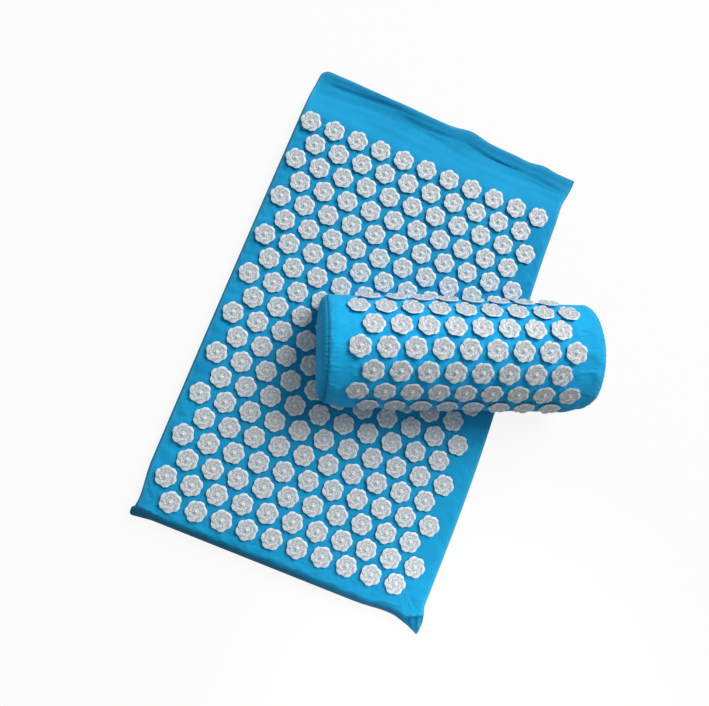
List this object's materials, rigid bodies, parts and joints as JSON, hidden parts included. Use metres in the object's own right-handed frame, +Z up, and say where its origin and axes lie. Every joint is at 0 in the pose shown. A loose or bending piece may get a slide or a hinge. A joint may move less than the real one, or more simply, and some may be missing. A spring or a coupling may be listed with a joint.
{
  "type": "acupressure mat",
  "caption": "Padded acupressure mat in a blue cotton cover studded with white petal discs, with a matching arched neck pillow lying on it.",
  "frame": {"origin": "centre of the mat's underside", "axes": "+X across the mat to the side where the pillow overhangs, +Y along it to the end that opens, +Z up"},
  "size_m": [0.5404, 0.7109, 0.1368],
  "materials": {
    "cotton": "plain woven blue cotton, matte",
    "tape": "woven hook and loop tape, matte",
    "foam": "open-cell foam, matte",
    "disc": "moulded white plastic, satin"
  },
  "bodies": {
    "mat": {"mat_back_cover": "cotton", "mat_disc_01": "disc", "mat_disc_02": "disc", "mat_disc_03": "disc", "mat_disc_04": "disc", "mat_disc_05": "disc", "mat_disc_06": "disc", "mat_disc_07": "disc", "mat_disc_08": "disc", "mat_disc_09": "disc", "mat_disc_10": "disc", "mat_disc_11": "disc", "mat_disc_12": "disc", "mat_disc_13": "disc", "mat_disc_14": "disc", "mat_disc_15": "disc", "mat_disc_16": "disc", "mat_disc_17": "disc", "mat_disc_18": "disc", "mat_disc_19": "disc", "mat_disc_20": "disc", "mat_disc_21": "disc", "mat_foam": "foam", "mat_front_cover": "cotton", "mat_hook_tape": "tape"},
    "closure_flap": {"mat_front_hem": "cotton", "mat_loop_tape": "tape"},
    "pillow": {"pillow_base_front": "cotton", "pillow_base_rear": "cotton", "pillow_disc_01": "disc", "pillow_disc_02": "disc", "pillow_disc_03": "disc", "pillow_disc_04": "disc", "pillow_disc_05": "disc", "pillow_disc_06": "disc", "pillow_disc_07": "disc", "pillow_disc_08": "disc", "pillow_disc_09": "disc", "pillow_foam": "foam", "pillow_front_cover": "cotton", "pillow_hook_tape": "tape", "pillow_left_end": "cotton", "pillow_loop_tape": "tape", "pillow_right_end": "cotton"}
  },
  "joints": [
    {"name": "closure_hinge", "type": "hinge", "parent": "mat", "child": "closure_flap", "pos_m": [0.00117, 0.322, 0.0049], "axis": [0.9998, -0.0199, 0], "range_deg": [0, 70]},
    {"name": "pillow_lift", "type": "slide", "parent": "mat", "child": "pillow", "axis": [0, 0, 1], "range_m": [0, 0.3]}
  ]
}
